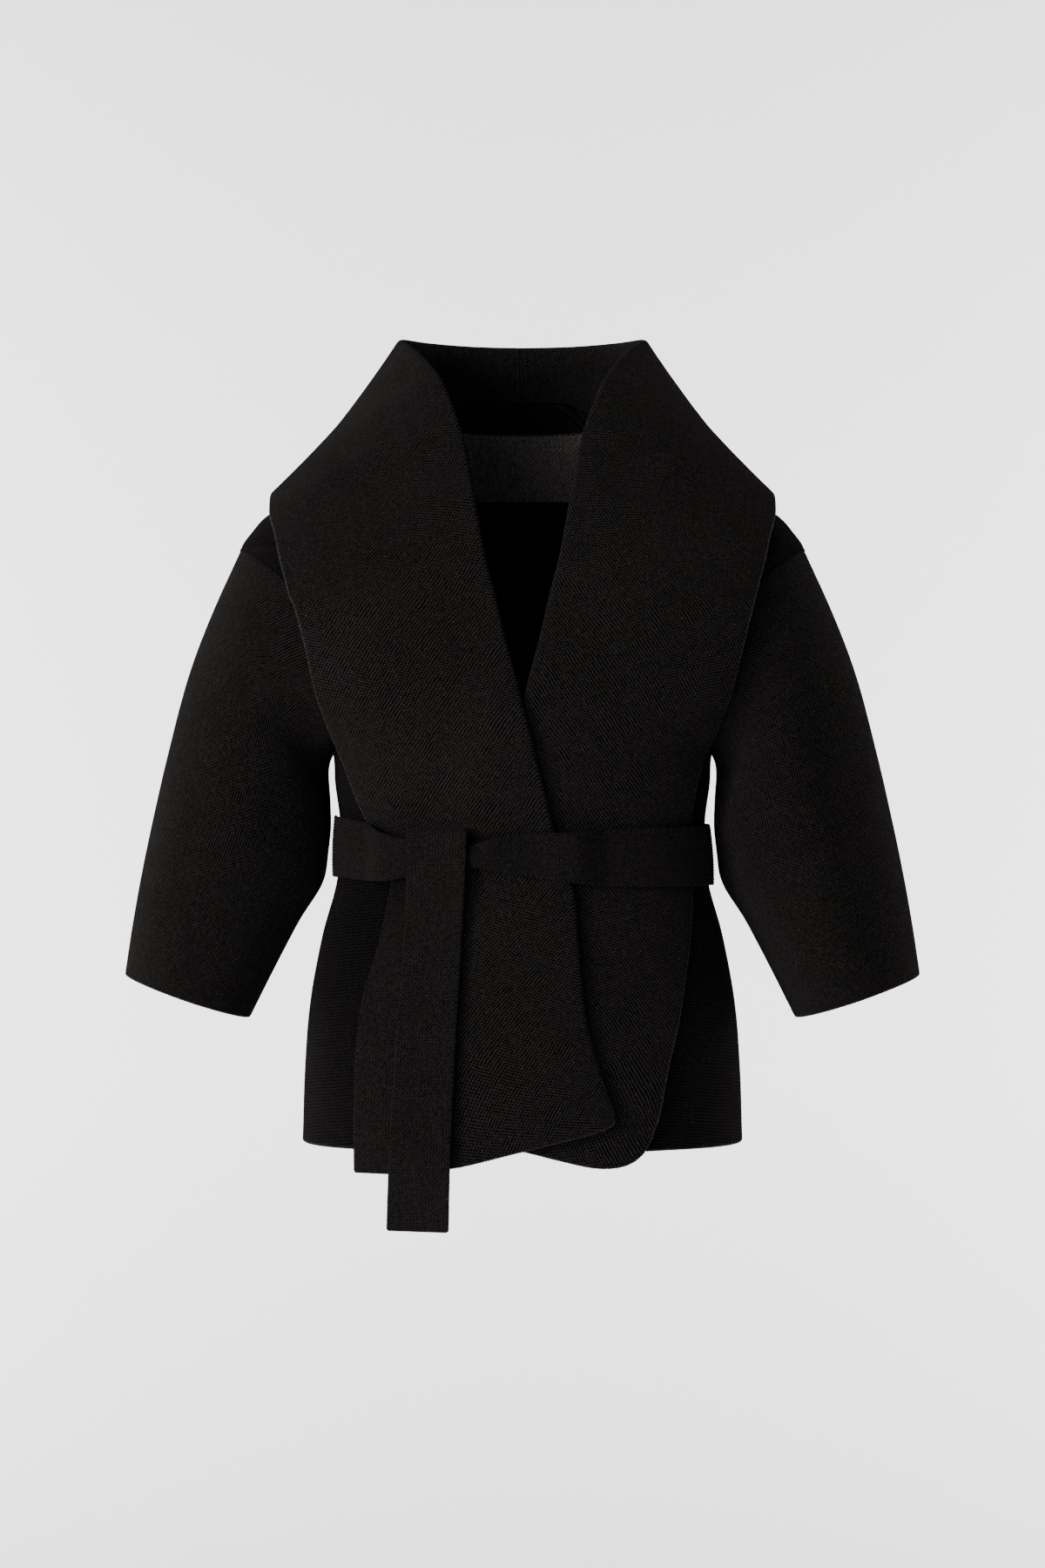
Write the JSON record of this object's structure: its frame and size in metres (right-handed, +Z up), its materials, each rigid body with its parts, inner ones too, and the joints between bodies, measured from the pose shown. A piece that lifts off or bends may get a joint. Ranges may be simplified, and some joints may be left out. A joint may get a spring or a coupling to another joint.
{
  "type": "wrap coat",
  "caption": "Short belted wrap coat in heavy black knit, with wide turned-out shawl collar, dropped wide sleeves and a ribbed tie belt; hollow, open at neck, hem and cuffs.",
  "frame": {"origin": "middle of the back neck seam, where a hanger or a neck carries the coat", "axes": "+Z up from hem to neck, +X to the wearer's left, +Y to the wearer's back, so the front faces -Y"},
  "size_m": [0.746, 0.3147, 0.826],
  "materials": {
    "cloth": "matte heavy wool knit",
    "belt": "matte ribbed knit",
    "band": "matte fine rib knit"
  },
  "bodies": {
    "root": {"back": "cloth", "front_right": "cloth", "front_left": "cloth", "sleeve_right": "cloth", "sleeve_left": "cloth", "collar_right": "cloth", "collar_left": "cloth", "neck_band": "band", "belt_waist": "belt", "belt_over_tail": "belt", "belt_under_tail": "belt"}
  },
  "joints": []
}
